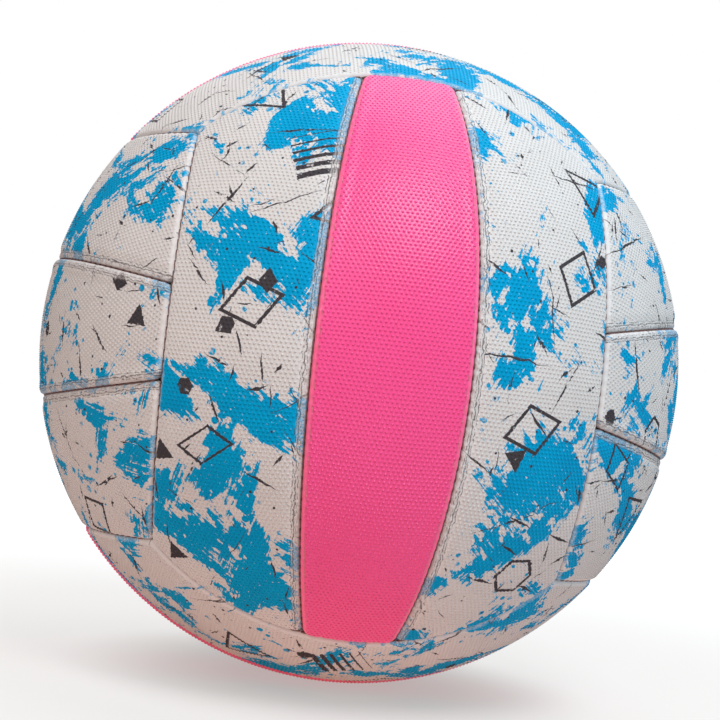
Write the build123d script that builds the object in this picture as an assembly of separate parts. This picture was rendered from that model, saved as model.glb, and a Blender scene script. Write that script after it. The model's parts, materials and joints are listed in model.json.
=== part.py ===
from build123d import *
from math import acos, asin, atan, atan2, cos, degrees, hypot, pi, radians, sin, sqrt, tan
import os

# An eighteen-panel stitched ball. Six faces of three parallel stripes close the sphere, and the
# stripes of neighbouring faces run across each other. Every panel is a rubber grip sheet bonded to
# its cloth lining, and the panels are sewn together over an inflated bladder.
# Millimetres and degrees, origin at the ball's centre, +Z up, -Y towards the viewer, valve on +Y.

# Ball and panels
BALL_CIRCUMFERENCE = 700.0
STRIPE_ANGLE = 24.4
PANEL_THICKNESS = 2.4
SEAM_GAP = 0.3
RIM_BEVEL = 1.4
CENTRE_CORNER_RADIUS = 6.5
SIDE_CORNER_RADIUS = 4.0

# Waxed thread, pressed square between the rims of two panels
THREAD_WIDTH = 0.7
THREAD_CLEARANCE = 0.12
THREAD_END_SPACE = 2.0

# Bladder and valve
BLADDER_WALL = 0.6
BLADDER_CLEARANCE = 0.1
STEM_RADIUS = 4.0
STEM_CLEARANCE = 0.15
STEM_RECESS = 0.4
FLANGE_RADIUS = 13.0
FLANGE_THICKNESS = 0.8
FLANGE_CLEARANCE = 0.3
SLEEVE_LENGTH = 7.0
PLUG_RADIUS = 2.4
PLUG_CLEARANCE = 0.05
PLUG_HEAD_RADIUS = 3.1
PLUG_HEAD_HEIGHT = 1.2
PLUG_TIP_LENGTH = 4.0
PLUG_TIP_RADIUS = 1.5
NEEDLE_BORE_RADIUS = 1.1
NEEDLE_BORE_LENGTH = 9.0
NEEDLE_LEAD_IN = 0.5

# Radii of the layers, from the outside in
ball_radius = BALL_CIRCUMFERENCE / (2 * pi)
panel_inner_radius = ball_radius - PANEL_THICKNESS
bladder_radius = panel_inner_radius - BLADDER_CLEARANCE
bladder_inner_radius = bladder_radius - BLADDER_WALL

# A face's own frame has +Z out of the ball and +X along the stripes. The face is three stripes wide,
# and its corners are those of a cube in the ball, so its edges are small circles and the walls under
# them are cones from the ball's centre. The cone of a long edge stands on an axis that leans from
# +Y, and the cone of the stripes' ends on one that leans as much from +Z.
face_half_angle = radians(1.5 * STRIPE_ANGLE)
stripe_half_angle = radians(0.5 * STRIPE_ANGLE)
cube_corner = 1 / sqrt(3)
edge_lean = atan((sin(face_half_angle) - cube_corner) / (cos(face_half_angle) - cube_corner))
edge_cone_angle = acos(sin(face_half_angle - edge_lean))
edge_half_span = asin(cube_corner / sin(edge_cone_angle))
inner_seam_half_span = acos(
    cos(edge_cone_angle) / hypot(sin(edge_lean), cos(edge_lean) * cos(stripe_half_angle))
) - atan2(sin(edge_lean), cos(edge_lean) * cos(stripe_half_angle))

# Panels stop short of the middle of a seam by seam_inset, and their rims are bevelled. The thread
# lies in the groove between two rims, with its flats along the bevels.
seam_inset = SEAM_GAP / 2
rim_bevel = min(RIM_BEVEL, 0.8 * PANEL_THICKNESS)
thread_depth = seam_inset + rim_bevel - sqrt(2) * (THREAD_WIDTH / 2 + THREAD_CLEARANCE)
thread_radius = ball_radius - thread_depth

# Heights along the valve's axis, from the ball's centre
stem_top = ball_radius - STEM_RECESS
flange_top_radius = bladder_inner_radius - FLANGE_CLEARANCE
flange_bottom = sqrt(flange_top_radius**2 - FLANGE_RADIUS**2) - FLANGE_THICKNESS
sleeve_bottom = flange_bottom - SLEEVE_LENGTH
head_seat = stem_top - PLUG_HEAD_HEIGHT - PLUG_CLEARANCE
plug_bore_radius = PLUG_RADIUS + PLUG_CLEARANCE
stem_hole_radius = STEM_RADIUS + STEM_CLEARANCE


def edge_cone(half_angle):
    """A cone from the ball's centre about +Z, cut off inside and outside the panels."""
    heights = [share * ball_radius for share in (0.45, 0.75, 1.05)]
    rings = [Pos(0, 0, height) * Circle(height * tan(half_angle)) for height in heights]
    return loft(rings)


def stripe_wedge(low_angle, high_angle):
    """The space between two planes through the X axis, each moved inwards by half the seam's gap."""
    reach = 1.5 * ball_radius
    middle = (low_angle + high_angle) / 2
    tip = seam_inset / sin((high_angle - low_angle) / 2)
    tip_y = tip * sin(middle)
    tip_z = tip * cos(middle)
    outline = Polyline(
        (0, tip_y, tip_z),
        (0, tip_y + reach * sin(low_angle), tip_z + reach * cos(low_angle)),
        (0, tip_y + reach * sin(high_angle), tip_z + reach * cos(high_angle)),
        close=True,
    )
    return extrude(make_face(outline), ball_radius, both=True)


def stripe_panel(is_side, corner_radius):
    """A centre stripe, or the side stripe next to it on +Y, with round corners and bevelled rims."""
    inset_angle = seam_inset / ball_radius
    panel = Sphere(ball_radius) - Sphere(panel_inner_radius)
    if is_side:
        panel &= stripe_wedge(stripe_half_angle, pi / 2 - stripe_half_angle)
        panel -= Rot(-90 - degrees(edge_lean), 0, 0) * edge_cone(edge_cone_angle + inset_angle)
    else:
        panel &= stripe_wedge(-stripe_half_angle, stripe_half_angle)
    for lean in (-edge_lean, edge_lean):
        panel &= Rot(0, degrees(lean), 0) * edge_cone(edge_cone_angle - inset_angle)
    middle_radius = (ball_radius + panel_inner_radius) / 2
    corners = [edge for edge in panel.edges() if abs((edge @ 0.5).length - middle_radius) < 0.01]
    panel = fillet(corners, corner_radius)
    outer_rim = [edge for edge in panel.edges() if abs((edge @ 0.5).length - ball_radius) < 0.01]
    return chamfer(outer_rim, rim_bevel)


def arc_thread(cone_angle, half_span):
    """A thread round +Z on the given cone from the ball's centre, centred on the +X side."""
    arc_radius = thread_radius * sin(cone_angle)
    strand = Rectangle(THREAD_WIDTH, THREAD_WIDTH, rotation=45 - degrees(cone_angle))
    section = Plane.XZ * Pos(arc_radius, thread_radius * cos(cone_angle)) * strand
    end_angle = degrees(half_span - THREAD_END_SPACE / arc_radius)
    return Rot(0, 0, -end_angle) * revolve(section, Axis.Z, 2 * end_angle)


def long_edge_thread():
    """The thread along a face's long edge on its +Y side."""
    out = (0, sin(edge_lean), cos(edge_lean))
    across = (0, cos(edge_lean), -sin(edge_lean))
    return Plane((0, 0, 0), x_dir=out, z_dir=across) * arc_thread(edge_cone_angle, edge_half_span)


def inner_seam_thread():
    """The thread between the centre stripe and the stripe on its +Y side."""
    out = (0, sin(stripe_half_angle), cos(stripe_half_angle))
    across = (0, cos(stripe_half_angle), -sin(stripe_half_angle))
    return Plane((0, 0, 0), x_dir=out, z_dir=across) * arc_thread(pi / 2, inner_seam_half_span)


def on_sphere(sphere_radius, radius):
    """The point of the valve's half section at this distance from its axis, on a sphere."""
    return (radius, 0, sqrt(sphere_radius**2 - radius**2))


def valve_housing():
    """A rubber sleeve with a round flange bonded inside the bladder and a stem out to the cover."""
    between = (STEM_RADIUS + FLANGE_RADIUS) / 2
    head_bore = PLUG_HEAD_RADIUS + PLUG_CLEARANCE
    over_flange = ThreePointArc(
        on_sphere(flange_top_radius, FLANGE_RADIUS),
        on_sphere(flange_top_radius, between),
        on_sphere(flange_top_radius, STEM_RADIUS),
    )
    sleeve = Polyline(
        (plug_bore_radius, 0, sleeve_bottom),
        (STEM_RADIUS, 0, sleeve_bottom),
        (STEM_RADIUS, 0, flange_bottom),
        (FLANGE_RADIUS, 0, flange_bottom),
        over_flange @ 0,
    )
    stem = Polyline(
        over_flange @ 1,
        (STEM_RADIUS, 0, stem_top),
        (head_bore, 0, stem_top),
        (head_bore, 0, head_seat),
        (plug_bore_radius, 0, head_seat),
        (plug_bore_radius, 0, sleeve_bottom),
    )
    return revolve(make_face(sleeve + over_flange + stem), Axis.Z)


def valve_core():
    """The soft plug in the sleeve, with a needle bore that stops at the plug's closed slit."""
    bore_bottom = stem_top - NEEDLE_BORE_LENGTH
    outline = Polyline(
        (0, 0, sleeve_bottom - PLUG_TIP_LENGTH),
        (PLUG_TIP_RADIUS, 0, sleeve_bottom - PLUG_TIP_LENGTH),
        (PLUG_RADIUS, 0, sleeve_bottom),
        (PLUG_RADIUS, 0, stem_top - PLUG_HEAD_HEIGHT),
        (PLUG_HEAD_RADIUS, 0, stem_top - PLUG_HEAD_HEIGHT),
        (PLUG_HEAD_RADIUS, 0, stem_top),
        (NEEDLE_BORE_RADIUS + NEEDLE_LEAD_IN, 0, stem_top),
        (NEEDLE_BORE_RADIUS, 0, stem_top - NEEDLE_LEAD_IN),
        (NEEDLE_BORE_RADIUS, 0, bore_bottom),
        (0, 0, bore_bottom),
        close=True,
    )
    return revolve(make_face(outline), Axis.Z)


# Each face: its outward direction, its stripes' direction, and the names of the stripes and of the
# neighbouring faces on its own +Y and -Y sides
FACES = {
    "front": ((0, -1, 0), (0, 0, 1), ("left", "right"), ("left", "right")),
    "back": ((0, 1, 0), (0, 0, 1), ("right", "left"), ("right", "left")),
    "right": ((1, 0, 0), (0, 1, 0), ("upper", "lower"), ("top", "bottom")),
    "left": ((-1, 0, 0), (0, 1, 0), ("lower", "upper"), ("bottom", "top")),
    "top": ((0, 0, 1), (1, 0, 0), ("rear", "front"), ("back", "front")),
    "bottom": ((0, 0, -1), (1, 0, 0), ("front", "rear"), ("front", "back")),
}
VALVE_FACE = "back"

os.makedirs("parts", exist_ok=True)


def save(shape, node):
    export_step(shape, f"parts/{node}.step")


centre_panel = stripe_panel(False, CENTRE_CORNER_RADIUS)
side_panel = stripe_panel(True, SIDE_CORNER_RADIUS)
edge_thread = long_edge_thread()
seam_thread = inner_seam_thread()
stem_hole = Cylinder(stem_hole_radius, 2 * ball_radius, align=(Align.CENTER, Align.CENTER, Align.MIN))

for face, (outward, along, stripes, neighbours) in FACES.items():
    place = Plane((0, 0, 0), x_dir=along, z_dir=outward)
    half_turn = place * Rot(0, 0, 180)
    middle_panel = centre_panel - stem_hole if face == VALVE_FACE else centre_panel
    save(place * middle_panel, f"{face}_centre_panel")
    save(Compound([place * seam_thread, half_turn * seam_thread]), f"{face}_stripe_thread")
    for turned, stripe, neighbour in zip((place, half_turn), stripes, neighbours):
        save(turned * side_panel, f"{face}_{stripe}_panel")
        save(turned * edge_thread, f"{face}_{neighbour}_seam_thread")

valve_place = Plane((0, 0, 0), x_dir=FACES[VALVE_FACE][1], z_dir=FACES[VALVE_FACE][0])
save(Sphere(bladder_radius) - Sphere(bladder_inner_radius) - valve_place * stem_hole, "bladder")
save(valve_place * valve_housing(), "valve_housing")
save(valve_place * valve_core(), "valve_core")
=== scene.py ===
import json
import math

import bmesh
import bpy
import numpy as np
from mathutils import Matrix, Quaternion, Vector


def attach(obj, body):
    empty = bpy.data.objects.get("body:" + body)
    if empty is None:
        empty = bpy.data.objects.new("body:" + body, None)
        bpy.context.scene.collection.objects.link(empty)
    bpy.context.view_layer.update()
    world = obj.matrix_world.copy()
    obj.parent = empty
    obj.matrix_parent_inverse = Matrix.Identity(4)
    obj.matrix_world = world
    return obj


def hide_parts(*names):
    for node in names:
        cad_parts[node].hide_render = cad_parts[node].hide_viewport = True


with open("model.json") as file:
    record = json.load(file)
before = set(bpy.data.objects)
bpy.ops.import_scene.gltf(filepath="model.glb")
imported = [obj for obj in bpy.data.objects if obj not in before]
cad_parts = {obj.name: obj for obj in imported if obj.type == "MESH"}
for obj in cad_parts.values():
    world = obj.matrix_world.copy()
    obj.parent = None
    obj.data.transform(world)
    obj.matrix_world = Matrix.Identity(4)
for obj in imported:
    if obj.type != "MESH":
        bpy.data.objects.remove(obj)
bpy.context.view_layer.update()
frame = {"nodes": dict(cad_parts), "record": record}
mm = 0.001

# Bladder: a thin black rubber bag, moulded in one piece and blown up inside the cover. Its solid has
# the true shape, so it keeps its mesh and gets the finish of the rubber, dusted with talc.


class Signal:
    """A socket of a material's nodes. Arithmetic on signals adds the Math nodes that do it."""

    def __init__(self, tree, socket):
        self.tree = tree
        self.socket = socket

    def add(self, kind, settings, sockets, output=0):
        """A new node: its settings first, then the values or links of its sockets."""
        node = self.tree.nodes.new(kind)
        for name, value in settings.items():
            setattr(node, name, value)
        for key, value in sockets.items():
            if isinstance(value, Signal):
                self.tree.links.new(value.socket, node.inputs[key])
            else:
                node.inputs[key].default_value = value
        if isinstance(output, tuple):
            return [Signal(self.tree, node.outputs[index]) for index in output]
        return Signal(self.tree, node.outputs[output])

    def math(self, operation, *others):
        sockets = dict(enumerate((self, *others)))
        return self.add("ShaderNodeMath", {"operation": operation}, sockets)

    def __add__(self, other):
        return self.math("ADD", other)

    def __sub__(self, other):
        return self.math("SUBTRACT", other)

    def __mul__(self, other):
        return self.math("MULTIPLY", other)

    def __truediv__(self, other):
        return self.math("DIVIDE", other)

    def __rsub__(self, other):
        return self.math("MULTIPLY", -1.0).math("ADD", other)

    def __abs__(self):
        return self.math("ABSOLUTE")

    __radd__ = __add__
    __rmul__ = __mul__

    def rise(self, low, high):
        """A smooth step from 0 at low to 1 at high."""
        sockets = {"Value": self, "From Min": low, "From Max": high}
        return self.add("ShaderNodeMapRange", {"interpolation_type": "SMOOTHSTEP"}, sockets)

    def blend(self, first, second):
        """The first colour where this is 0 and the second where it is 1."""
        return self.add("ShaderNodeMix", {"data_type": "RGBA"}, {0: self, 6: first, 7: second}, 2)

    def vector(self, operation, other):
        return self.add("ShaderNodeVectorMath", {"operation": operation}, {0: self, 1: other})

    def parts(self):
        return self.add("ShaderNodeSeparateXYZ", {}, {0: self}, (0, 1, 2))

    def largest(self, *others):
        result = self
        for other in others:
            result = result.math("MAXIMUM", other)
        return result

    def noise(self, scale, detail=2.0, roughness=0.5):
        sockets = {"Vector": self, "Scale": scale, "Detail": detail, "Roughness": roughness}
        return self.add("ShaderNodeTexNoise", {}, sockets)

    def turned(self, degrees, scale):
        """These coordinates turned about Z, then stretched."""
        angle = (0.0, 0.0, math.radians(degrees))
        return self.add("ShaderNodeMapping", {}, {0: self, 2: angle}).vector("MULTIPLY", scale)

    def length(self):
        return self.add("ShaderNodeVectorMath", {"operation": "LENGTH"}, {0: self}, 1)

    def feed(self, shader, name):
        self.tree.links.new(self.socket, shader.inputs[name])


def finish(name):
    """A new material, its shader, and the Object coordinates in millimetres."""
    material = bpy.data.materials.new(name)
    material.use_nodes = True
    tree = material.node_tree
    place = Signal(tree, tree.nodes.new("ShaderNodeTexCoord").outputs["Object"])
    per_mm = (1 / mm, 1 / mm, 1 / mm)
    return material, tree.nodes["Principled BSDF"], place.vector("MULTIPLY", per_mm)


def emboss(height, shader, depth):
    """Feeds a height from 0 to 1 to the shader's normal, as relief of that depth."""
    sockets = {"Height": height, "Distance": depth, "Strength": 1.0}
    height.add("ShaderNodeBump", {}, sockets).feed(shader, "Normal")


def dress(node, material):
    """Gives a carried-over solid its finish."""
    slots = frame["nodes"][node].data.materials
    slots.clear()
    slots.append(material)


def rubber(name, dark, dusty, roughness):
    material, shader, place = finish(name)
    cloud = place.noise(0.08, 4.0, 0.6)
    grain = place.noise(2.5, 3.0)
    dust = (cloud * 0.8 + grain * 0.4).rise(0.5, 0.95)
    dust.blend(dark, dusty).feed(shader, "Base Color")
    (roughness + dust * 0.2).feed(shader, "Roughness")
    emboss(grain, shader, 0.05 * mm)
    return material


dress("bladder", rubber("bladder_rubber", (0.012, 0.012, 0.013, 1), (0.10, 0.10, 0.10, 1), 0.55))

# Valve: a rubber sleeve whose flange is bonded inside the bladder and whose stem comes out through the
# back panel, and the soft plug in it with the needle's port. Both keep their solids.

valve_rubber = rubber("valve_rubber", (0.018, 0.017, 0.018, 1), (0.09, 0.085, 0.085, 1), 0.45)
for node in ("valve_housing", "valve_core"):
    dress(node, valve_rubber)

# Grip panels: rubber sheets with moulded pimples, bonded to cloth, cut as stripes and sewn edge to
# edge from behind, which rolls their rims in. Six faces have three stripes each.

ball_radius = -frame["record"]["mounts"][1]["pos_m"][2]
stripe_angle = math.radians(24.4)
panel_thickness = 2.4 * mm
half_gap = 0.12 * mm
rim_roll = 1.3 * mm
roll_depth = 1.6 * mm
roll_steps = (75, 60, 45, 30, 15, 0)
pimple_pitch = 1.45 * mm
pimple_radius = 0.56 * mm
pimple_height = 0.32 * mm
centre_corner_radius = 3.6 * mm
side_corner_radius = 2.0 * mm
valve_hole_radius = 4.15 * mm
stitch_pitch = 3.4 * mm
pucker_depth = 0.22 * mm
pucker_reach = 2.6 * mm
lining_step = 6.0 * mm

# A face's own frame has +Z out of the ball and +X along its stripes. Each edge of a panel is a circle
# on the ball: the directions at one angle from an axis that lies beyond the edge.
face_half = 1.5 * stripe_angle
stripe_half = 0.5 * stripe_angle
cube_corner = 1 / math.sqrt(3)
lean = math.atan((math.sin(face_half) - cube_corner) / (math.cos(face_half) - cube_corner))
edge_angle = math.acos(math.sin(face_half - lean))
edge_half_span = math.asin(cube_corner / math.sin(edge_angle))


class Edge:
    """A panel's edge: the circle at an angle from an axis, and the direction of its middle."""

    def __init__(self, axis, angle, middle):
        self.axis = np.array(axis)
        self.angle = angle
        self.middle = np.array(middle)

    def distance(self, ways):
        """How far inside the edge each direction lies, along the ball."""
        return ball_radius * (np.arccos(np.clip(ways @ self.axis, -1, 1)) - self.angle) - half_gap

    def along(self, ways):
        """How far along the edge each direction lies, from the edge's middle."""
        side = np.cross(self.axis, self.middle)
        return ball_radius * math.sin(self.angle) * np.arctan2(ways @ side, ways @ self.middle)


def yz(angle):
    """A direction in the face's YZ plane, at an angle from +Z towards +Y."""
    return (0.0, math.sin(angle), math.cos(angle))


def end_edge(sign):
    axis = (sign * math.sin(lean), 0.0, -math.cos(lean))
    return Edge(axis, math.pi - edge_angle, (sign * math.cos(lean), 0.0, math.sin(lean)))


def round_corner(first, second, radius, middle):
    """The centre of the round corner between two edges, and the ways from it to them."""
    reach = (radius + half_gap) / ball_radius
    cosine = first.axis @ second.axis
    wanted = (math.cos(first.angle + reach), math.cos(second.angle + reach))
    share = 1 - cosine**2
    flat = first.axis * (wanted[0] - cosine * wanted[1]) / share
    flat = flat + second.axis * (wanted[1] - cosine * wanted[0]) / share
    rise = np.cross(first.axis, second.axis)
    rise *= math.copysign(1, rise @ middle) / np.linalg.norm(rise)
    centre = flat + rise * math.sqrt(1 - flat @ flat)
    ways = []
    for edge in (first, second):
        way = edge.axis - centre * (edge.axis @ centre)
        ways.append(way / np.linalg.norm(way))
    return centre, ways[0], ways[1], radius


class Panel:
    """One shape of panel: its edges in order round it, its corners and its look."""

    def __init__(self, middle_angle, edges, corner_radius, lap, holes=()):
        self.middle = np.array(yz(middle_angle))
        self.across = np.array(yz(middle_angle + math.pi / 2))
        self.edges = [*edges, *holes]
        self.holes = holes
        self.lap = lap
        pairs = zip(edges, edges[1:] + edges[:1])
        self.corners = [round_corner(a, b, corner_radius, self.middle) for a, b in pairs]

    def lap_distance(self, ways):
        """How far each direction lies from the nearest seam between two stripes."""
        return np.min([edge.distance(ways) for edge in self.lap["edges"]], axis=0)

    def sheet(self, ways):
        """The flat sheet's coordinates of each direction: along the stripe, and across it."""
        along = np.arctan2(ways[:, 0], ways @ self.middle)
        return ball_radius * np.c_[along, np.arcsin(ways @ self.across)]

    def ways(self, sheet):
        """The directions of points on the flat sheet."""
        along, across = sheet.T / ball_radius
        level = np.cos(across)
        flat = np.outer(np.cos(along) * level, self.middle) + np.outer(np.sin(across), self.across)
        return flat + np.outer(np.sin(along) * level, (1, 0, 0))

    def inside(self, ways):
        """How far inside the outline each direction lies, and the shortest way out."""
        depth = np.full(len(ways), np.inf)
        out = np.zeros(ways.shape)
        for edge in self.edges:
            gap = edge.distance(ways)
            closer = gap < depth
            depth[closer] = gap[closer]
            out[closer] = edge.axis
        for centre, first, second, radius in self.corners:
            cosine = first @ second
            toward_first = (ways - centre) @ first
            toward_second = (ways - centre) @ second
            beyond = (toward_first > cosine * toward_second) & (toward_second > cosine * toward_first)
            gap = radius - ball_radius * np.arccos(np.clip(ways @ centre, -1, 1))
            depth[beyond] = gap[beyond]
            out[beyond] = -centre
        out -= ways * np.sum(ways * out, axis=1)[:, None]
        return depth, out / np.linalg.norm(out, axis=1)[:, None]


def smooth(low, high, value):
    share = np.clip((value - low) / (high - low), 0, 1)
    return share * share * (3 - 2 * share)


def gather(verts):
    return np.array([v.co for v in verts])


def unit(points):
    return points / np.linalg.norm(points, axis=1)[:, None]


def place_at(verts, points):
    for vert, point in zip(verts, points):
        vert.co = point


def crease(panel, ways):
    """The wavy fold that runs beside a lapped seam: 1 along its line and 0 away from it."""
    fold = np.zeros(len(ways))
    for edge in panel.lap["edges"]:
        run = edge.along(ways)
        wave = np.sin(run / (1.1 * mm)) + np.sin(run / (0.73 * mm) + 1.3) + np.sin(run / (2.9 * mm))
        line = panel.lap["fold_at"] + 0.22 * mm * wave
        fold = np.maximum(fold, np.exp(-(((edge.distance(ways) - line) / (0.4 * mm)) ** 2)))
    return fold


def relief(panel, ways):
    """How far each direction's point of the grip surface stands over the ball's radius."""
    depth, _ = panel.inside(ways)
    sheet = panel.sheet(ways)
    rolled = np.clip(1 - depth / rim_roll, 0, 1)
    height = roll_depth * (np.sqrt(1 - rolled**2) - 1)

    # Pimples stand in rows across the stripe, with every other row shifted by half a pitch
    period = np.array((math.sqrt(3) * pimple_pitch, pimple_pitch))
    away = np.full(len(ways), np.inf)
    for shift in (0.0, 0.5):
        offset = sheet / period - shift
        near = (offset - np.round(offset)) * period
        away = np.minimum(away, np.hypot(near[:, 0], near[:, 1]))
    dome = np.clip(1 - (away / pimple_radius) ** 2, 0, 1) ** 2
    lap_gap = panel.lap_distance(ways)
    bare = panel.lap["bare"]
    grown_out = smooth(0.8 * mm, 1.8 * mm, depth) * smooth(bare, bare + mm, lap_gap)
    height += pimple_height * dome * grown_out

    # Every stitch pulls the rim in
    for edge in panel.edges:
        gap = edge.distance(ways)
        pull = np.cos(2 * math.pi * edge.along(ways) / stitch_pitch) * 0.5 - 0.5
        height += pucker_depth * pull * (1 - smooth(0, pucker_reach, gap))

    # Along the seams between stripes one panel laps a little over the other
    height += panel.lap["rise"] * (1 - smooth(2.2 * mm, 5.5 * mm, lap_gap))
    return height - panel.lap["crease"] * crease(panel, ways)


def cut(bm, geometry, point, normal):
    bmesh.ops.bisect_plane(
        bm, geom=geometry, dist=0.1 * mm, plane_co=point, plane_no=normal, clear_outer=True
    )


def trimmed_sheet(panel, step):
    """A sheet of triangles over the ball, trimmed to the panel's outline less the rolled rim."""
    half_length = 106 * mm
    half_width = 34 * mm
    rows = 2 * math.ceil(half_length / (step * math.sqrt(0.75)))
    columns = 2 * math.ceil(half_width / step)
    bm = bmesh.new()
    bmesh.ops.create_grid(bm, x_segments=rows, y_segments=columns, size=1.0)
    flat = gather(bm.verts)[:, :2]
    row = np.rint(flat[:, 0] * rows / 2)
    column = np.rint(flat[:, 1] * columns / 2)
    sheet = np.c_[row * math.sqrt(0.75), column + 0.5 * (row % 2)] * step
    place_at(bm.verts, ball_radius * panel.ways(sheet))
    bmesh.ops.triangulate(bm, faces=bm.faces, quad_method="SHORT_EDGE")
    for edge in panel.edges:
        level = ball_radius * math.cos(edge.angle + (rim_roll + half_gap) / ball_radius)
        cut(bm, bm.verts[:] + bm.edges[:] + bm.faces[:], level * edge.axis, edge.axis)
    for centre, first, second, radius in panel.corners:
        near = {v for v in bm.verts if (v.co - Vector(ball_radius * centre)).length < 3 * radius}
        arc = (radius - rim_roll) / ball_radius
        for share in (0.1, 0.3, 0.5, 0.7, 0.9):
            way = first * (1 - share) + second * share
            way /= np.linalg.norm(way)
            near = {v for v in near if v.is_valid}
            faces = {f for v in near for f in v.link_faces}
            edges = {e for f in faces for e in f.edges}
            verts = {v for f in faces for v in f.verts}
            normal = way * math.cos(arc) - centre * math.sin(arc)
            cut(bm, [*verts, *edges, *faces], (0, 0, 0), normal)
    bmesh.ops.delete(bm, geom=[e for e in bm.edges if e.is_wire], context="EDGES")
    bmesh.ops.delete(bm, geom=[v for v in bm.verts if not v.link_faces], context="VERTS")
    return bm


def boundary(bm):
    return [e for e in bm.edges if e.is_boundary]


def grown(bm):
    """Extrudes the sheet's boundary and returns the new vertices."""
    made = bmesh.ops.extrude_edge_only(bm, edges=boundary(bm))["geom"]
    return [item for item in made if isinstance(item, bmesh.types.BMVert)]


def panel_mesh(panel):
    """The closed panel: pimpled face, rolled rim, and the lining behind."""
    bm = trimmed_sheet(panel, pimple_pitch / 3)
    for angle in roll_steps:
        rim = grown(bm)
        ways = unit(gather(rim))
        depth, out = panel.inside(ways)
        step = (depth - rim_roll * (1 - math.cos(math.radians(angle)))) / ball_radius
        ways = ways * np.cos(step)[:, None] + out * np.sin(step)[:, None]
        place_at(rim, ball_radius * ways)
    ways = unit(gather(bm.verts))
    place_at(bm.verts, ways * (ball_radius + relief(panel, ways))[:, None])
    lining_radius = ball_radius - panel_thickness
    rim = grown(bm)
    place_at(rim, lining_radius * unit(gather(rim)))
    lining = trimmed_sheet(panel, lining_step)
    place_at(lining.verts, lining_radius * unit(gather(lining.verts)))
    lining_mesh = bpy.data.meshes.new("lining")
    lining.to_mesh(lining_mesh)
    lining.free()
    bm.from_mesh(lining_mesh)
    bpy.data.meshes.remove(lining_mesh)
    loops = {True: [], False: []}
    for edge in boundary(bm):
        middle = unit(gather(edge.verts).mean(axis=0)[None])
        loops[any(hole.distance(middle) < 4 * rim_roll for hole in panel.holes)].append(edge)
    for loop in filter(None, loops.values()):
        bmesh.ops.bridge_loops(bm, edges=loop)
    bmesh.ops.recalc_face_normals(bm, faces=bm.faces)
    return bm


inner_axis = np.array(yz(stripe_half + math.pi / 2))
inner_left = Edge(inner_axis, math.pi / 2, yz(stripe_half))
inner_right = Edge(inner_axis * (1, -1, 1), math.pi / 2, yz(-stripe_half))
inner_side = Edge(-inner_axis, math.pi / 2, yz(stripe_half))
outer_side = Edge(yz(lean + math.pi / 2), edge_angle, yz(lean))
ends = [end_edge(1), end_edge(-1)]
valve_hole = Edge((0.0, 0.0, 1.0), valve_hole_radius / ball_radius, (1.0, 0.0, 0.0))

centre_edges = [inner_left, ends[0], inner_right, ends[1]]
side_edges = [inner_side, ends[0], outer_side, ends[1]]
centre_lap = {
    "edges": [inner_left, inner_right],
    "rise": 0.3 * mm,
    "bare": 0.9 * mm,
    "crease": 0.06 * mm,
    "fold_at": 1.5 * mm,
}
side_lap = {
    "edges": [inner_side],
    "rise": -0.35 * mm,
    "bare": 2.7 * mm,
    "crease": 0.12 * mm,
    "fold_at": 1.9 * mm,
}
shapes = {
    "centre": Panel(0.0, centre_edges, centre_corner_radius, centre_lap),
    "valve": Panel(0.0, centre_edges, centre_corner_radius, centre_lap, [valve_hole]),
    "side": Panel(stripe_angle, side_edges, side_corner_radius, side_lap),
}


class GripSheet:
    """What both finishes of the grip sheet read: its flat coordinates, its seams and its pimples."""

    def __init__(self, name):
        self.material, self.shader, self.place = finish(name)
        uv = self.place.add("ShaderNodeUVMap", {"uv_map": "Sheet"}, {})
        self.sheet = uv.vector("MULTIPLY", (1 / mm, 1 / mm, 0))
        self.grain = self.place.noise(3.0, 3.0)
        self.seam = self.carried("seam")
        self.lap = self.carried("lap")
        self.tatter = self.sheet.noise(0.5, 4.0, 0.6)
        self.away = self.pimple(0.0).math("MINIMUM", self.pimple(0.5))
        beads = {"Vector": self.sheet, "Scale": 0.85}
        self.bead = self.sheet.add("ShaderNodeTexVoronoi", {"feature": "F1"}, beads)

    def carried(self, name):
        """A number that the panel's mesh carries."""
        return self.place.add("ShaderNodeAttribute", {"attribute_name": name}, {}, 2)

    def pimple(self, shift):
        """How far in mm each point lies from the nearest pimple of every other row."""
        row = math.sqrt(3) * pimple_pitch / mm
        space = pimple_pitch / mm
        step = self.sheet.vector("MULTIPLY", (1 / row, 1 / space, 0))
        step = step.vector("ADD", (0.5 - shift, 0.5 - shift, 0)).vector("FRACTION", (0, 0, 0))
        near = step.vector("SUBTRACT", (0.5, 0.5, 0)).vector("MULTIPLY", (row, space, 0))
        return near.length()

    def fold(self, place, swing, half):
        """A thin wavy fold at a place in mm from a lapped seam."""
        line = self.lap - place - (self.tatter - 0.5) * swing
        return 1 - abs(line).rise(half, half + 0.14)

    def coat(self, colour, roughness, bare, folds):
        """Feeds the shader, with painted shade round the pimples' feet, and their tops and the folds as
        relief.
        """
        pimpled = self.seam.rise(0.8, 1.8) * self.lap.rise(bare, bare + 1.0)
        # Painted shade: the colour darkens round each pimple's foot, in the valleys between the pimples.
        pimple_foot_shade = self.away.rise(0.2, 0.52) * pimpled
        painted_shade_factor = {0: colour, 1: (0.92, 0.91, 0.905)}
        with_painted_shade = self.place.add("ShaderNodeVectorMath", {"operation": "MULTIPLY"}, painted_shade_factor)
        pimple_foot_shade.blend(colour, with_painted_shade).feed(self.shader, "Base Color")
        (roughness + self.grain * 0.12).feed(self.shader, "Roughness")
        top = (1 - self.away.rise(0.06, 0.44)) * pimpled
        squeezed = (1 - self.bead) * (1 - self.lap.rise(bare - 0.6, bare + 0.3)) * 0.8
        emboss(top + squeezed + self.grain * 0.12 - folds, self.shader, 0.32 * mm)
        return self.material


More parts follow.
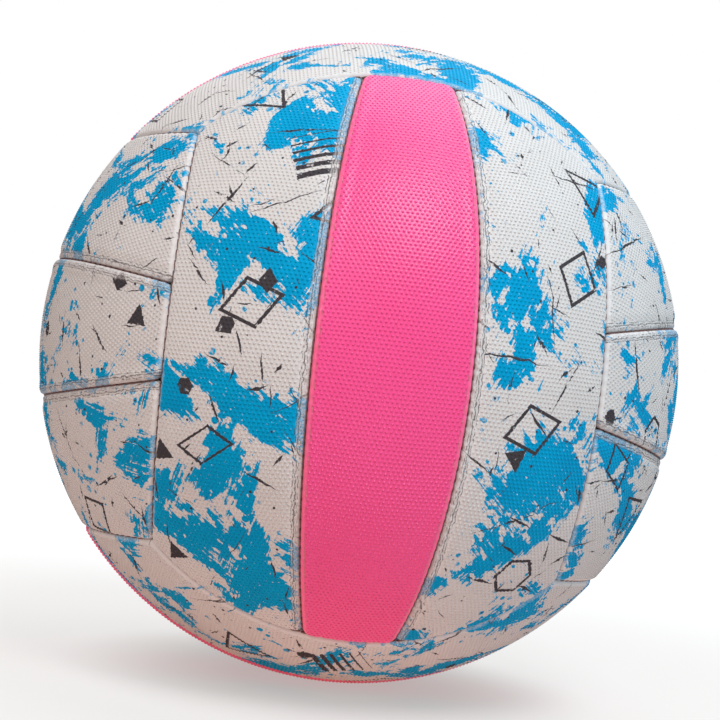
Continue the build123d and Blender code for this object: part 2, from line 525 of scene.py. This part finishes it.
def pink_grip():
    """Plain hot pink rubber, paler where the rim is stretched, with a faint tan line of painted shade in
    a fold along it.
    """
    grip = GripSheet("pink_grip")
    grip.shader.inputs["Specular IOR Level"].default_value = 0.45
    cloud = grip.place.noise(0.05, 3.0) * 0.7 + grip.grain * 0.3
    base = cloud.blend((0.93, 0.066, 0.27, 1), (0.98, 0.088, 0.32, 1))
    rim = 1 - (grip.lap + grip.grain).rise(1.0, 2.4)
    rimmed = (rim * 0.4).blend(base, (0.92, 0.25, 0.33, 1))
    # Painted shade: a faint tan line is drawn along the fold.
    folds = grip.fold(1.5, 0.7, 0.03) * grip.tatter.rise(0.38, 0.5)
    return grip.coat((folds * 0.55).blend(rimmed, (0.50, 0.33, 0.20, 1)), 0.3, 0.9, folds * 0.4)


def cells(sheet, size, degrees):
    """A turned grid of square cells: the place in the cell from its middle, and six chances."""
    grid = sheet.turned(degrees, (1 / size, 1 / size, 0))
    corner = grid.vector("FLOOR", (0, 0, 0))
    chances = []
    for shift in ((0, 0, 0), (31, 57, 0)):
        seed = {"Vector": corner.vector("ADD", shift)}
        chances += corner.add("ShaderNodeTexWhiteNoise", {"noise_dimensions": "2D"}, seed, 1).parts()
    inside = grid.vector("FRACTION", (0, 0, 0)).vector("SUBTRACT", (0.5, 0.5, 0))
    x, y, _ = inside.vector("MULTIPLY", (size, size, 0)).parts()
    return x, y, chances


def scratches(sheet, wobble, size, degrees, thickness, scarce):
    """Thin tapered scratches of dark ink, at most one in a cell."""
    x, y, (length, shift, slope, width, slide, kept) = cells(sheet, size, degrees)
    x = x + (slide - 0.5) * (0.3 * size)
    y = y + (shift - 0.5) * (0.6 * size) + x * ((slope - 0.5) * 0.9) + wobble
    taper = 1 - abs(x) / (0.1 * size + length * (0.25 * size))
    stroke = (taper * (0.45 + width) * thickness - abs(y)).rise(0.0, 0.12)
    return stroke * kept.math("GREATER_THAN", scarce)


def marker_shapes(sheet, wobble, size, degrees, scale, line_half, scarce):
    """Shapes drawn with a marker, at most one in a cell: triangles, diamonds, hexagons, slanted boxes."""
    x, y, (turn, kind, kept, right, up, _) = cells(sheet, size, degrees)
    room = size / 2 - 10.5 * scale
    x = x + (right - 0.5) * (2 * room)
    y = y + (up - 0.5) * (2 * room)
    angle = turn * (2 * math.pi)
    cosine = angle.math("COSINE")
    sine = angle.math("SINE")
    u = (x * cosine - y * sine + wobble) / scale
    v = (x * sine + y * cosine + wobble) / scale
    triangle = abs((abs(u) * 0.866 + v * 0.5).largest(v * -1.0) - 4.9)
    diamond = abs(abs(u) * 1.3 + abs(v) - 9.6) * 0.61
    hexagon = abs((abs(u) * 0.866 + abs(v) * 0.5).largest(abs(v)) - 6.0)
    slanted_box = abs(abs(u + v * 0.45).largest(abs(v) * 1.5) - 6.2)
    line = triangle
    for start, shape in ((0.42, diamond), (0.76, hexagon), (0.88, slanted_box)):
        later = kind.math("GREATER_THAN", start)
        line = line * (1 - later) + shape * later
    return (line_half - line * scale).rise(0.0, 0.15) * kept.math("GREATER_THAN", scarce)


def graded_bars(sheet, wobble, size):
    """A patch of bars that grow thinner from one side to the other, in some cells."""
    x, y, (right, up, kept, *_) = cells(sheet, size, -24)
    u = x + (right - 0.5) * (0.4 * size)
    v = y + (up - 0.5) * (0.4 * size) + wobble * 2
    step = (u / 3.1).math("FRACT")
    bar = (0.42 - u * 0.036 - abs(step - 0.5) * 2).rise(0.0, 0.08)
    patch = (9.3 - abs(u)).rise(0.0, 0.1) * (8.0 - abs(v)).rise(0.0, 0.1)
    return bar * patch * kept.math("GREATER_THAN", 0.72)


def brush_strokes(sheet, ragged, degrees, length, breadth):
    """How thick blue paint lies where a wide dry brush ran in one direction."""
    broad = sheet.turned(degrees, (1 / length, 1 / breadth, 1)).noise(1.0, 2.0)
    bristle = sheet.turned(degrees, (1 / 15, 1 / 1.1, 1)).noise(1.0, 3.0, 0.6)
    return broad + (ragged - 0.5) * 0.22 + (bristle - 0.5) * 0.2


def printed_grip():
    """Off-white rubber under a print of blue brush strokes, with dark scratches and marker shapes."""
    grip = GripSheet("printed_grip")
    grip.shader.inputs["Specular IOR Level"].default_value = 0.05
    sheet = grip.sheet
    ragged = sheet.noise(0.35, 5.0, 0.65)
    fine = sheet.noise(0.9, 3.0, 0.6)
    wobble = (fine - 0.5) * 0.9

    paint = brush_strokes(sheet, ragged, -52, 44, 26).largest(brush_strokes(sheet, ragged, 24, 40, 20))
    gaps = sheet.turned(-40, (1 / 13, 1 / 6, 1)).noise(1.0, 3.0, 0.55).rise(0.56, 0.6)
    flecks = fine.rise(0.67, 0.7)
    drops = {"Vector": sheet, "Scale": 0.3}
    away, chance = sheet.add("ShaderNodeTexVoronoi", {"feature": "F1"}, drops, (0, 1))
    first, second, third = chance.parts()
    splash = (first * first * 0.4 - away).rise(0.0, 0.05) * paint.rise(0.47, 0.53)
    blue = ((paint - gaps * 0.07).rise(0.56, 0.572) * (1 - flecks)).largest(splash)

    drawn = wobble * 0.8 + (sheet.noise(0.11, 2.0) - 0.5) * 3.5
    lines = [
        scratches(sheet, drawn, 61, -14, 0.42, 0.1),
        scratches(sheet, drawn, 52, 78, 0.42, 0.15),
        scratches(sheet, drawn, 46, 12, 0.46, 0.2),
        scratches(sheet, drawn, 38, -40, 0.48, 0.25),
        scratches(sheet, drawn, 29, 55, 0.46, 0.4),
        scratches(sheet, drawn, 21, -72, 0.46, 0.45),
        scratches(sheet, drawn, 17, -18, 0.42, 0.5),
        scratches(sheet, drawn, 13, 31, 0.42, 0.55),
    ]
    breaks = sheet.noise(0.26, 3.0, 0.6).rise(0.38, 0.46)
    cracked = lines[0].largest(*lines[1:]) * breaks
    outlines = marker_shapes(sheet, wobble, 43, 17, 1.0, 0.62, 0.5)
    small_solids = marker_shapes(sheet, wobble, 27, -33, 0.2, 1.3, 0.8)
    motifs = outlines.largest(small_solids, graded_bars(sheet, wobble, 66)) * ragged.rise(0.32, 0.4)
    specks = (second * third * 0.2 - away).rise(0.0, 0.04)
    dark = cracked.largest(motifs, specks)

    ground = grip.place.noise(0.06, 4.0).blend((0.64, 0.622, 0.612, 1), (0.73, 0.715, 0.705, 1))
    ink = sheet.noise(0.1, 3.0).blend((0.0, 0.28, 0.55, 1), (0.0, 0.40, 0.72, 1))
    printed = dark.blend(blue.blend(ground, ink), (0.058, 0.053, 0.06, 1))
    rubbed = 1 - (grip.seam + ragged * 3 - 1.5).rise(0.3, 1.7)
    strip = 1 - (grip.lap + ragged * 1.6 - 0.8).rise(2.0, 3.0)
    streaks = 0.22 + sheet.noise(1.6, 3.0, 0.6).rise(0.4, 0.62) * 0.5
    faded = (rubbed.largest(strip) * streaks).blend(printed, (0.66, 0.645, 0.645, 1))
    folds = grip.fold(1.9, 2.6, 0.05).largest(grip.fold(2.7, 2.2, 0.02) * fine.rise(0.42, 0.52))
    folds = folds.largest(grip.fold(1.1, 1.8, 0.0) * fine.rise(0.48, 0.56)) * ragged.rise(0.34, 0.44)
    # Painted shade: the seam strip is darker in the hollows between its squeezed beads.
    shade_between_beads = grip.bead.rise(0.3, 0.7) * strip * 0.3
    with_painted_shade = shade_between_beads.blend(faded, (0.36, 0.31, 0.29, 1))
    # Painted shade: the folds beside the lapped seam are drawn nearly black in the colour.
    return grip.coat((folds * 0.7).blend(with_painted_shade, (0.13, 0.10, 0.095, 1)), 0.5, 2.7, folds)


FACES = {
    "front": ((0, -1, 0), (0, 0, 1), ("left", "right"), ("left", "right")),
    "back": ((0, 1, 0), (0, 0, 1), ("right", "left"), ("right", "left")),
    "right": ((1, 0, 0), (0, 1, 0), ("upper", "lower"), ("top", "bottom")),
    "left": ((-1, 0, 0), (0, 1, 0), ("lower", "upper"), ("bottom", "top")),
    "top": ((0, 0, 1), (1, 0, 0), ("rear", "front"), ("back", "front")),
    "bottom": ((0, 0, -1), (1, 0, 0), ("front", "rear"), ("front", "back")),
}
PINK_FACES = ("front", "back", "top", "bottom")


def turn_to(face, sign):
    """Turns a face's own frame to its place on the ball, or half a turn round from it."""
    outward, along = (Vector(way) for way in FACES[face][:2])
    along = along * sign
    return Matrix((along, outward.cross(along), outward)).transposed().to_4x4()


def new_piece(name, mesh, material, node):
    piece = bpy.data.objects.new(name, mesh)
    bpy.context.scene.collection.objects.link(piece)
    mesh.materials.append(material)
    mesh.shade_smooth()
    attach(piece, "root")
    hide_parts(node)


def blank_panel(panel):
    """The panel's mesh in its face's frame, and its sheet coordinates at each corner of a face."""
    mesh = bpy.data.meshes.new("panel")
    bm = panel_mesh(panel)
    bm.to_mesh(mesh)
    bm.free()
    ways = unit(np.array([v.co for v in mesh.vertices]))
    carried = {"seam": panel.inside(ways)[0] / mm, "lap": panel.lap_distance(ways) / mm}
    for name, values in carried.items():
        attribute = mesh.attributes.new(name, "FLOAT", "POINT")
        attribute.data.foreach_set("value", values.astype(np.float32))
    corner_vert = np.zeros(len(mesh.loops), int)
    mesh.loops.foreach_get("vertex_index", corner_vert)
    return mesh, panel.sheet(ways)[corner_vert]


# Each panel is cut from another place of the printed sheet, a whole number of pimples away
blanks = {shape: blank_panel(panel) for shape, panel in shapes.items()}
grips = {"pink_grip": pink_grip(), "printed_grip": printed_grip()}
sheet_step = np.array((123 * math.sqrt(3), 117)) * pimple_pitch
cuts = 0
for face, (_, _, stripes, _) in FACES.items():
    centre_shape = "valve" if face == "back" else "centre"
    centre_slot = "pink_grip" if face in PINK_FACES else "printed_grip"
    laid = [("centre", centre_shape, centre_slot, 1)]
    laid += [(stripe, "side", "printed_grip", sign) for stripe, sign in zip(stripes, (1, -1))]
    for stripe, shape, slot, sign in laid:
        blank, sheet = blanks[shape]
        mesh = blank.copy()
        mesh.transform(turn_to(face, sign))
        cuts += 1
        laid_out = (sheet + sheet_step * cuts).astype(np.float32)
        mesh.uv_layers.new(name="Sheet").uv.foreach_set("vector", laid_out.ravel())
        node = f"{face}_{stripe}_panel"
        new_piece(f"{face}_{stripe}_grip", mesh, grips[slot], node)

# Stitching: waxed thread drawn tight through both rims. From outside only its short dark lengths show,
# end to end at the bottom of the groove between two panels.

thread_depth = 1.15 * mm
stitch_size = (1.85 * mm, 0.34 * mm, 0.42 * mm)
stitch_slant = math.radians(9)
seam_end_space = 2.0 * mm
lean_up = math.sin(lean)
lean_out = math.cos(lean) * math.cos(stripe_half)
seam_end = math.acos(math.cos(edge_angle) / math.hypot(lean_up, lean_out))
inner_half_span = seam_end - math.atan2(lean_up, lean_out)


def stitch_row(bm, edge, half_span, turn):
    """A row of stitches along a seam, each under both rims where the next one starts."""
    seam_radius = (ball_radius - thread_depth) * math.sin(edge.angle)
    half_length = seam_radius * half_span - seam_end_space
    count = 2 * int(half_length / stitch_pitch) + 1
    axis = Vector(edge.axis)
    middle = Vector(edge.middle) * math.sin(edge.angle) + axis * math.cos(edge.angle)
    slant = Matrix.Rotation(stitch_slant, 4, "Z")
    size = Matrix.Diagonal((*stitch_size, 1))
    for index in range(count):
        angle = (index - (count - 1) / 2) * stitch_pitch / (ball_radius * math.sin(edge.angle))
        out = Matrix.Rotation(angle, 3, axis) @ middle
        along = axis.cross(out).normalized()
        facing = Matrix((along, out.cross(along), out)).transposed().to_4x4()
        place = Matrix.Translation(out * (ball_radius - thread_depth)) @ facing @ slant @ size
        bmesh.ops.create_uvsphere(bm, u_segments=6, v_segments=6, radius=1, matrix=turn @ place)


def waxed_thread():
    material, shader, place = finish("waxed_thread")
    fibre = place.noise(4.0, 3.0, 0.6)
    fibre.blend((0.08, 0.03, 0.027, 1), (0.23, 0.105, 0.09, 1)).feed(shader, "Base Color")
    (0.42 + fibre * 0.25).feed(shader, "Roughness")
    emboss(fibre, shader, 0.06 * mm)
    return material


thread = waxed_thread()
for face, (_, _, _, neighbours) in FACES.items():
    rows = {f"{face}_stripe": [(inner_left, inner_half_span, 1), (inner_left, inner_half_span, -1)]}
    for neighbour, sign in zip(neighbours, (1, -1)):
        rows[f"{face}_{neighbour}_seam"] = [(outer_side, edge_half_span, sign)]
    for seam_name, seams in rows.items():
        bm = bmesh.new()
        for edge, half_span, sign in seams:
            stitch_row(bm, edge, half_span, turn_to(face, sign))
        bmesh.ops.recalc_face_normals(bm, faces=bm.faces)
        mesh = bpy.data.meshes.new(f"{seam_name}_stitches")
        bm.to_mesh(mesh)
        bm.free()
        new_piece(f"{seam_name}_stitches", mesh, thread, f"{seam_name}_thread")

# Floor: a wide sheet of pale paper, for the stage. The camera sees it white, with a painted grey shadow
# round the ball. The paper also glows like a lamp: the light that it sends up is dimmer than it looks,
# and warm in a painted pool of light in front of the ball, since the photo's ball has a warm underside
# against plain white.

dim = (0.11, 0.10, 0.10, 1)
warm = (0.34, 0.18, 0.13, 1)
warm_pool = (0.60, 0.33, 0.25, 1)
pool_middle = (0.0, -80.0, -ball_radius / mm)
shadow_grey_paper = (0.42, 0.405, 0.395, 1)
pale_paper = (0.70, 0.69, 0.68, 1)
white_paper = (0.96, 0.98, 1.0, 1)

floor_mesh = bpy.data.meshes.new("floor")
bm = bmesh.new()
bmesh.ops.create_grid(bm, x_segments=1, y_segments=1, size=12.0)
bmesh.ops.translate(bm, verts=bm.verts, vec=(0, 0, -ball_radius - 0.3 * mm))
bm.to_mesh(floor_mesh)
bm.free()
floor = bpy.data.objects.new("floor", floor_mesh)
bpy.context.scene.collection.objects.link(floor)
pale, pale_shader, pale_place = finish("pale_floor")
pale_shader.inputs["Roughness"].default_value = 0.9
pale_shader.inputs["Emission Strength"].default_value = 1.0
from_ball = pale_place.length()
from_pool = pale_place.vector("SUBTRACT", pool_middle).length()
# The paper glows like a lamp: a painted pool of warm light in front of the ball, a dim warm glow round
# it, and a dimmer glow further out.
around = from_ball.rise(180.0, 420.0).blend(warm, dim)
sent = from_pool.rise(25.0, 80.0).blend(warm_pool, around)
# Painted shadow: the paper the camera sees is grey right by the ball and pales further out.
near = from_ball.rise(112.0, 150.0).blend(shadow_grey_paper, pale_paper)
shown = from_ball.rise(150.0, 700.0).blend(near, white_paper)
to_camera = pale_place.add("ShaderNodeLightPath", {}, {})
to_camera.blend((0.46, 0.405, 0.38, 1), (0.16, 0.155, 0.15, 1)).feed(pale_shader, "Base Color")
to_camera.blend(sent, shown).feed(pale_shader, "Emission Color")
floor_mesh.materials.append(pale)

# Studio light: a room that the camera sees white and that lights the ball dimly, soft panels above, in
# front on the left, and behind, a cool panel on the right and a small warm one low on the left.

room_light = 0.24
scene = bpy.context.scene
world = bpy.data.worlds.new("pale_room")
world.use_nodes = True
backdrop = world.node_tree.nodes["Background"]
backdrop.inputs["Color"].default_value = (1.0, 1.0, 1.0, 1)
to_camera = Signal(world.node_tree, backdrop.outputs[0]).add("ShaderNodeLightPath", {}, {})
(room_light + to_camera * (1 - room_light)).feed(backdrop, "Strength")
scene.world = world


def softbox(name, place, size, power, colour):
    light = bpy.data.lights.new(name, "AREA")
    light.size = size
    light.energy = power
    light.color = colour
    lamp = bpy.data.objects.new(name, light)
    lamp.location = place
    lamp.rotation_euler = (-Vector(place)).to_track_quat("-Z", "Y").to_euler()
    scene.collection.objects.link(lamp)


softbox("key_panel", (0.2, -0.8, 1.0), 0.4, 10.0, (0.97, 0.98, 1.0))
softbox("sky_panel", (0.3, 0.3, 1.2), 1.0, 10.5, (0.82, 0.93, 1.0))
softbox("cool_panel", (1.1, -0.7, 0.35), 0.6, 3.8, (0.28, 0.74, 1.0))
softbox("left_panel", (-0.65, -1.1, 0.7), 0.6, 4.9, (1.0, 0.94, 0.91))
softbox("warm_panel", (-0.7, -0.6, 0.0), 0.2, 0.5, (1.0, 0.44, 0.24))
softbox("back_panel", (-0.2, 1.2, 0.6), 0.8, 4.0, (1.0, 0.98, 0.96))

# Camera: at the photo's angle and distance, which were fitted to the seams in the photo. It stands level
# with the ball, which lies turned a little to it.

camera_distance = 4.9 * ball_radius
ball_turn = Vector((-1.59, 6.31, 5.33))
back_turn = Quaternion(ball_turn, math.radians(ball_turn.length)).to_matrix().transposed()
lens = bpy.data.cameras.new("camera")
lens.sensor_width = 36.0
lens.lens = 76.5
lens.shift_x = 0.0017
lens.shift_y = 0.0040
lens.clip_start = 0.01
lens.clip_end = 50.0
view = bpy.data.objects.new("camera", lens)
level = Matrix(((1, 0, 0), (0, 0, -1), (0, 1, 0)))
view.matrix_world = (back_turn @ level).to_4x4()
view.location = back_turn @ Vector((0, -camera_distance, 0))
scene.collection.objects.link(view)
scene.camera = view
scene.view_settings.view_transform = "Standard"
